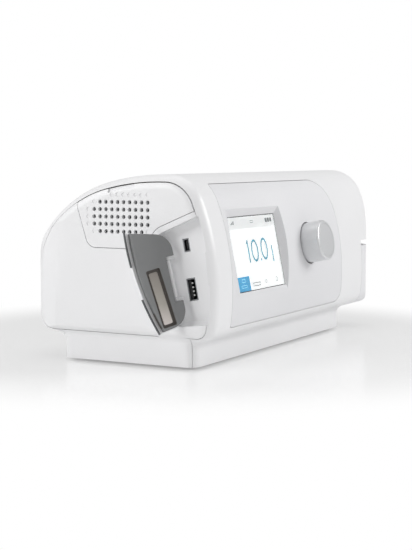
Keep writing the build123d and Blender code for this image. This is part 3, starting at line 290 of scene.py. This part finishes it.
# the inlet filter and the silencer's lining: pale felt, and near black foam with open cells
filterFelt = filterCloth("polyester_filter_felt", "#8f9193", "#b4b6b7", 0.7)
silencerFoam = filterCloth("open_cell_silencer_foam", "#1d1d1e", "#47474a", 1.2)
# the fan wheel: off-white and slightly rough
fanNylon = mouldedPlastic("white_fan_nylon", "#d8dada", "#e2e3e3", 0.45, 0.4, 0.01)
# the hose end: a pale cool grey beside the white shell
spigotPolycarbonate = mouldedPlastic("pale_grey_polycarbonate", "#c8cbcd", "#d2d4d6", 0.3, 0.5, 0.01)
# the ribbon cable: yellowish white
ribbonFilm = mouldedPlastic("ribbon_polyester_film", "#cfcfc8", "#d9d8d2", 0.4, 0.6, 0.01)
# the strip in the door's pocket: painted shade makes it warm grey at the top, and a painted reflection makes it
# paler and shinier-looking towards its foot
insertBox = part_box("door_insert")
stripPaintedLight = paintedLightStrip("metallised_strip_painted_shade_and_reflection", "#a19a94", "#c2bdb4", "#f2e9e4",
                        insertBox[1][2], insertBox[0][2])

print("dressing the mouldings")
# Each moulding: the body that it moves with, its finish and the radius of its edges in millimetres
mouldings = {
    "front_shell": ("housing", glossWhiteAbs, 0.15),
    "main_shell": ("housing", glossWhiteAbs, 0.15),
    "bottom_case": ("housing", glossWhiteAbs, 0.15),
    "side_cover": ("housing", glossWhiteAbs, 0.12),
    "filter_cover": ("filter_cover", glossWhiteAbs, 0.1),
    "port_door": ("port_door", glossWhiteAbs, 0.2),
    "door_liner": ("port_door", linerElastomer, 0.25),
    # the strip's finish carries a painted shade and a painted reflection
    "door_insert": ("port_door", stripPaintedLight, 0.1),
    "door_lips": ("port_door", lipElastomer, 0.2),
    "front_panel": ("housing", satinSilverPaint, 0.2),
    "end_cover": ("end_cover", coolWhiteAbs, 0.2),
    "dock_wall": ("housing", coolWhiteAbs, 0.25),
    "rubber_feet": ("housing", feetRubber, 0.3),
    "hinge_pin": ("housing", brightSteel, 0.0),
    "usb_socket": ("housing", canTin, 0.08),
    "usb_tongue": ("housing", blackNylon, 0.08),
    "service_socket": ("housing", canTin, 0.08),
    "service_tongue": ("housing", blackNylon, 0.08),
    "outlet_spigot": ("housing", spigotPolycarbonate, 0.3),
    "power_jack": ("housing", blackNylon, 0.2),
    "case_screws": ("housing", brightSteel, 0.15),
    "encoder_shaft": ("knob", brightSteel, 0.1),
    "knob": ("knob", knobAluminium, 0.0),
    "knob_cap": ("knob", knobAluminium, 0.1),
}
innerParts = {
    "lcd_module": blackNylon, "display_frame": greyAbs, "display_board": boardLaminate,
    "main_board": boardLaminate, "port_board": boardLaminate, "power_board": boardLaminate,
    "encoder_body": brightSteel, "encoder_plunger": blackNylon, "board_chips": blackNylon,
    "ribbon_cable": ribbonFilm, "filter_tray": greyAbs, "air_filter": filterFelt,
    "muffler_box": greyAbs, "muffler_lid": greyAbs, "muffler_foam": silencerFoam,
    "inlet_gasket": feetRubber, "blower_case_inlet": greyAbs, "blower_case_motor": greyAbs,
    "blower_saddle": greyAbs, "rubber_mounts": feetRubber, "motor_can": brightSteel,
    "motor_bearings": brightSteel, "rotor": brightSteel, "impeller": fanNylon,
    "outlet_duct": feetRubber, "flow_sensor": blackNylon, "speaker": blackNylon,
}
sharpEdge = math.radians(35)
flatFace = math.radians(0.2)
weldReach = 0.002 * mm


def deselect():
    bpy.ops.object.select_all(action="DESELECT")


def pickOnly(piece):
    deselect()
    piece.select_set(True)
    bpy.context.view_layer.objects.active = piece


def settle(piece, material, body):
    pickOnly(piece)
    bpy.ops.object.transform_apply(location=True, rotation=True, scale=True)
    if material:
        piece.data.materials.clear()
        piece.data.materials.append(material)
    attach(piece, body)


def dressMoulding(name, body, material, edge):
    piece = bpy.data.objects.new(name + "_dressed", nodes[name].data.copy())
    bpy.context.scene.collection.objects.link(piece)
    pickOnly(piece)
    bpy.ops.object.mode_set(mode="EDIT")
    bpy.ops.mesh.select_all(action="SELECT")
    bpy.ops.mesh.remove_doubles(threshold=weldReach)
    bpy.ops.mesh.dissolve_limited(angle_limit=flatFace)
    bpy.ops.object.mode_set(mode="OBJECT")
    if edge:
        rounding = piece.modifiers.new("edge rounding", "BEVEL")
        rounding.width = edge * mm
        rounding.segments = 2
        rounding.limit_method = "ANGLE"
        rounding.angle_limit = sharpEdge
        bpy.ops.object.modifier_apply(modifier=rounding.name)
    bpy.ops.object.shade_smooth_by_angle(angle=sharpEdge)
    even = piece.modifiers.new("even shading", "WEIGHTED_NORMAL")
    even.keep_sharp = True
    even.weight = 100
    bpy.ops.object.modifier_apply(modifier=even.name)
    settle(piece, material, body)
    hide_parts(name)
    return piece


dressed = {name: dressMoulding(name, *values) for name, values in mouldings.items()}
for name, material in innerParts.items():
    nodes[name].data.materials.clear()
    nodes[name].data.materials.append(material)

print("darkening the door's pocket")
# The pocket's faces, which take a darker grey as painted shade, are those of the liner near the strip: margin
# beside it, depth off its middle plane
pocket = {"margin": 2.0, "depth": 1.35, "doorTurn": 122.0, "hingeLean": 14.0}
hingeAngle = math.radians(pocket["hingeLean"])
hingeLine = Vector((0, math.sin(hingeAngle), math.cos(hingeAngle)))
openTurn = Matrix.Rotation(math.radians(-pocket["doorTurn"]), 3, hingeLine)
pocketOut = openTurn @ Vector((-1, 0, 0))
pocketSide = hingeLine.cross(pocketOut)
stripCorners = [vertex.co for vertex in dressed["door_insert"].data.vertices]
stripMiddle = sum(stripCorners, Vector()) / len(stripCorners)
stripReach = [max(abs((corner - stripMiddle).dot(way)) for corner in stripCorners) + pocket["margin"] * mm
              for way in (hingeLine, pocketSide)]
liner = dressed["door_liner"].data
# a second slot holding the darker grey of the painted shade
liner.materials.append(pocketPaintedShade)
paintedShadeFaces = 0
for face in liner.polygons:
    offset = face.center - stripMiddle
    inside = abs(offset.dot(hingeLine)) < stripReach[0] and abs(offset.dot(pocketSide)) < stripReach[1]
    if inside and abs(offset.dot(pocketOut)) < pocket["depth"] * mm:
        # painted shade: this face takes the darker grey
        face.material_index = 1
        paintedShadeFaces += 1
print("pocket faces", paintedShadeFaces)

print("making the screen")
# The screen's places are from its middle, x to the right and y up, with levels below its front plane
screen = {
    "centre": (-60.9, -9.25, 66.8), "lean": 11.3, "width": 65.4, "height": 46.5, "rim": 0.2,
    "glassLow": -1.15, "glassHigh": -0.2, "glassEdge": 0.12, "pictureLevel": -1.36, "layer": 0.03,
    "glow": 0.62, "cornerSteps": 6, "ringSteps": 56,
}
screenTurn = (Matrix.Translation(inFrame(screen["centre"]))
              @ Matrix.Rotation(math.radians(90 - screen["lean"]), 4, "X"))
pictureWhite = litPixels("lcd_white_field", "#fbfcfc", screen["glow"])
pictureGrey = litPixels("lcd_pale_grey_bar", "#e4e5e5", screen["glow"])
pictureMark = litPixels("lcd_grey_mark", "#8d9293", screen["glow"] * 0.7)
pictureDark = litPixels("lcd_dark_mark", "#6f7375", screen["glow"] * 0.6)
pictureBlue = litPixels("lcd_blue_tab", "#00b2ea", screen["glow"] * 0.45)
picturePale = litPixels("lcd_pale_blue_icon", "#8fd8f4", screen["glow"])
pictureTeal = litPixels("lcd_teal_figure", "#1498b4", screen["glow"] * 0.6)


def layerHeight(layer):
    return (screen["pictureLevel"] + layer * screen["layer"]) * mm


def openAtSize(scale):
    # sizes the primitive that was just added and opens it for editing, all of it selected
    piece = bpy.context.active_object
    piece.scale = scale
    bpy.ops.object.transform_apply(location=True, rotation=True, scale=True)
    bpy.ops.object.mode_set(mode="EDIT")
    bpy.ops.mesh.select_all(action="SELECT")
    return piece


def keepRing(thickness):
    # leaves only the rim of the selected face
    bpy.ops.mesh.inset(thickness=thickness * mm)
    bpy.ops.mesh.delete(type="FACE")


def joinAll(pieces, name):
    deselect()
    for piece in pieces:
        piece.select_set(True)
    bpy.context.view_layer.objects.active = pieces[0]
    bpy.ops.object.join()
    joined = bpy.context.active_object
    joined.name = name
    return joined


def screenPatch(x0, x1, y0, y1, layer, material, corner=0.0, ring=0.0):
    deselect()
    middle = ((x0 + x1) / 2 * mm, (y0 + y1) / 2 * mm, layerHeight(layer))
    bpy.ops.mesh.primitive_plane_add(size=1, location=middle)
    patch = openAtSize(((x1 - x0) * mm, (y1 - y0) * mm, 1))
    if corner:
        bpy.ops.mesh.bevel(offset=corner * mm, segments=screen["cornerSteps"], affect="VERTICES")
    if ring:
        bpy.ops.mesh.select_mode(type="FACE")
        bpy.ops.mesh.select_all(action="SELECT")
        keepRing(ring)
    bpy.ops.object.mode_set(mode="OBJECT")
    patch.data.materials.append(material)
    return patch


def screenFigure(x, y, width, height, stroke, layer, material):
    deselect()
    middle = (x * mm, y * mm, layerHeight(layer))
    bpy.ops.mesh.primitive_circle_add(vertices=screen["ringSteps"], radius=1, fill_type="NGON", location=middle)
    figure = openAtSize((width / 2 * mm, height / 2 * mm, 1))
    keepRing(stroke)
    bpy.ops.object.mode_set(mode="OBJECT")
    figure.data.materials.append(material)
    return figure


halfWidth = screen["width"] / 2 - screen["rim"]
halfHeight = screen["height"] / 2 - screen["rim"]
patches = [
    # white field and status bar
    screenPatch(-halfWidth, halfWidth, -halfHeight, halfHeight, 0, pictureWhite),
    screenPatch(-halfWidth, halfWidth, 15.6, halfHeight, 1, pictureGrey),
    # chosen tab with plain frames, then the plain frames of the other tabs
    screenPatch(-halfWidth, -15.8, -halfHeight, -14.0, 1, pictureBlue),
    screenPatch(-26.5, -21.8, -17.6, -15.4, 2, picturePale, 0.5, 0.45),
    screenPatch(-28.0, -20.4, -21.0, -19.2, 2, picturePale, 0.6, 0.35),
    screenPatch(-12.0, -1.2, -21.0, -18.6, 1, pictureMark, 0.6, 0.55),
    screenPatch(5.4, 8.0, -20.2, -17.9, 1, pictureMark, 0.9, 0.4),
    screenPatch(21.0, 24.0, -20.4, -17.4, 1, pictureMark, 1.2, 0.5),
    # line above the tabs and two faint blocks beside the figures
    screenPatch(-12.5, 26.0, -12.3, -12.0, 1, pictureGrey),
    screenPatch(-21.0, -18.3, -4.1, -2.9, 1, pictureGrey, 0.4),
    screenPatch(-20.6, -17.4, -8.6, -7.5, 1, pictureGrey, 0.4),
    # the figures: a stroke, a point, the level bar and two rings
    screenPatch(-11.3, -9.8, -6.0, 8.1, 1, pictureTeal),
    screenPatch(4.5, 6.0, -5.8, -4.3, 1, pictureTeal),
    screenPatch(22.2, 23.6, -7.4, 3.1, 1, pictureTeal),
    screenFigure(-1.8, 1.1, 9.6, 14.3, 1.45, 1, pictureTeal),
    screenFigure(11.8, 1.5, 9.6, 14.3, 1.45, 1, pictureTeal),
    # plain frame in the status bar
    screenPatch(-1.9, 2.3, 18.7, 20.4, 2, pictureMark, 0.4, 0.35),
]
signalBars = {"count": 4, "from": -28.9, "to": -28.1, "pitch": 1.3, "low": 18.5, "high": 19.2, "rise": 0.6}
for step in range(signalBars["count"]):
    along = signalBars["pitch"] * step
    patches.append(screenPatch(signalBars["from"] + along, signalBars["to"] + along, signalBars["low"],
                               signalBars["high"] + signalBars["rise"] * step, 2, pictureDark))
batteryBlocks = {"count": 3, "from": 19.6, "to": 22.4, "pitch": 3.4, "low": 18.3, "high": 20.9, "corner": 0.4}
for step in range(batteryBlocks["count"]):
    along = batteryBlocks["pitch"] * step
    patches.append(screenPatch(batteryBlocks["from"] + along, batteryBlocks["to"] + along, batteryBlocks["low"],
                               batteryBlocks["high"], 2, pictureDark, batteryBlocks["corner"]))
# the short flag at the top of the stroke, a third of a layer above it
strokeFlag = {"halfLength": 1.2, "halfWidth": 0.4, "place": (-11.55, 6.7), "turn": 40, "lift": 0.3}
flag = screenPatch(-strokeFlag["halfLength"], strokeFlag["halfLength"], -strokeFlag["halfWidth"],
                   strokeFlag["halfWidth"], 1, pictureTeal)
flagPlace = Vector((*strokeFlag["place"], strokeFlag["lift"] * screen["layer"])) * mm
flag.data.transform(Matrix.Translation(flagPlace) @ Matrix.Rotation(math.radians(strokeFlag["turn"]), 4, "Z"))
patches.append(flag)
picture = joinAll(patches, "screen_picture")
picture.data.transform(screenTurn)
settle(picture, None, "housing")

deselect()
paneMiddle = (screen["glassHigh"] + screen["glassLow"]) / 2
paneThickness = screen["glassHigh"] - screen["glassLow"]
bpy.ops.mesh.primitive_cube_add(size=1, location=(0, 0, paneMiddle * mm))
pane = openAtSize((screen["width"] * mm, screen["height"] * mm, paneThickness * mm))
pane.name = "screen_pane"
bpy.ops.mesh.bevel(offset=screen["glassEdge"] * mm, segments=1)
bpy.ops.object.mode_set(mode="OBJECT")
bpy.ops.object.shade_flat()
pane.data.transform(screenTurn)
settle(pane, coverGlass("hardened_cover_glass"), "housing")
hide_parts("screen_glass")

print("making the socket contacts")
contacts = {"centre": (-123.0, 3.3, 48.0), "lean": -11.0, "pitch": 2.45, "count": 4,
            "place": (1.5, -0.05), "size": (0.7, 1.1, 1.0), "edge": 0.2}


def contactPad(up):
    deselect()
    along, across = contacts["place"]
    bpy.ops.mesh.primitive_cube_add(size=1, location=(along * mm, across * mm, up * mm))
    pad = openAtSize([side * mm for side in contacts["size"]])
    bpy.ops.mesh.bevel(offset=contacts["edge"] * mm, segments=2)
    bpy.ops.object.mode_set(mode="OBJECT")
    return pad


lowestPad = -(contacts["count"] - 1) / 2
pads = [contactPad((lowestPad + n) * contacts["pitch"]) for n in range(contacts["count"])]
usbContacts = joinAll(pads, "usb_contacts")
usbContacts.data.transform(Matrix.Translation(inFrame(contacts["centre"]))
                           @ Matrix.Rotation(math.radians(contacts["lean"]), 4, "X"))
settle(usbContacts, contactNickel, "housing")

print("setting the studio")
# The floor turns to plain white, for the camera alone, between the two distances from its middle
studio = {
    "floor": "#f6f6f6", "floorRoughness": 0.14, "floorSpecular": 0.35, "floorSize": 12, "floorDrop": 0.0003,
    "whiteFrom": 0.17, "whiteTo": 0.27, "paperShare": 0.3, "ambient": 0.51, "paper": (1, 1, 1, 1),
}
lamps = {
    "top_softbox": {"place": (0.1, 0.1, 1.5), "target": (0, 0, 0), "size": (1.6, 1.4), "power": 6.0},
    "left_back_softbox": {"place": (-1.35, 0.95, 0.75), "target": (0, 0, 0.06), "size": (1.2, 1.0),
                          "power": 12.5},
    "right_front_softbox": {"place": (0.9, -1.6, 0.9), "target": (0, 0, 0.06), "size": (1.0, 0.8),
                            "power": 16.0},
}
deselect()
bpy.ops.mesh.primitive_plane_add(size=studio["floorSize"], location=(0, 0, -studio["floorDrop"]))
floor = bpy.context.active_object
floor.name = "studio_floor"
floorMaterial, floorTree, floorPlace, floorShader, floorOutput = startMaterial(
    "white_acrylic_sheet", {"Base Color": toLinear(studio["floor"]), "Roughness": studio["floorRoughness"],
                            "Specular IOR Level": studio["floorSpecular"]})
away = addNode(floorTree, "ShaderNodeVectorMath", {"operation": "LENGTH"}, {0: floorPlace})
fade = addNode(floorTree, "ShaderNodeMapRange",
               {"From Min": studio["whiteFrom"], "From Max": studio["whiteTo"], "To Min": studio["paperShare"],
                "interpolation_type": "SMOOTHSTEP"}, {"Value": away.outputs["Value"]})
rays = addNode(floorTree, "ShaderNodeLightPath")
shown = addNode(floorTree, "ShaderNodeMath", {"operation": "MULTIPLY"},
                {0: fade.outputs["Result"], 1: rays.outputs["Is Camera Ray"]})
paper = addNode(floorTree, "ShaderNodeEmission", {"Strength": 1.0})
floorMix = addNode(floorTree, "ShaderNodeMixShader", {},
                   {0: shown.outputs[0], 1: floorShader.outputs["BSDF"], 2: paper.outputs["Emission"]})
floorTree.links.new(floorMix.outputs["Shader"], floorOutput.inputs["Surface"])
floor.data.materials.append(floorMaterial)

world = bpy.data.worlds.new("studio_world")
bpy.context.scene.world = world
world.use_nodes = True
worldTree = world.node_tree
worldTree.nodes.clear()
seen = addNode(worldTree, "ShaderNodeLightPath")
ambient = addNode(worldTree, "ShaderNodeBackground", {"Color": studio["paper"], "Strength": studio["ambient"]})
white = addNode(worldTree, "ShaderNodeBackground", {"Color": studio["paper"], "Strength": 1.0})
pick = addNode(worldTree, "ShaderNodeMixShader", {},
               {0: seen.outputs["Is Camera Ray"], 1: ambient.outputs["Background"],
                2: white.outputs["Background"]})
addNode(worldTree, "ShaderNodeOutputWorld", {}, {"Surface": pick.outputs["Shader"]})

for name, lamp in lamps.items():
    bpy.ops.object.light_add(type="AREA", location=lamp["place"])
    softbox = bpy.context.active_object
    softbox.name = name
    softbox.data.shape = "RECTANGLE"
    softbox.data.size, softbox.data.size_y = lamp["size"]
    softbox.data.energy = lamp["power"]
    aim = Vector(lamp["target"]) - Vector(lamp["place"])
    softbox.rotation_euler = aim.to_track_quat("-Z", "Y").to_euler()

bpy.context.scene.view_settings.view_transform = "Standard"

print("placing the camera")
view = {"place": (-801.0, -371.1, 127.5), "turn": (84.77, 0.0, -61.69), "lens": 85.8, "sensor": 36}
cameraTurn = [math.radians(angle) for angle in view["turn"]]
bpy.ops.object.camera_add(location=inFrame(view["place"]), rotation=cameraTurn)
camera = bpy.context.active_object
camera.data.lens = view["lens"]
camera.data.sensor_width = view["sensor"]
bpy.context.scene.camera = camera
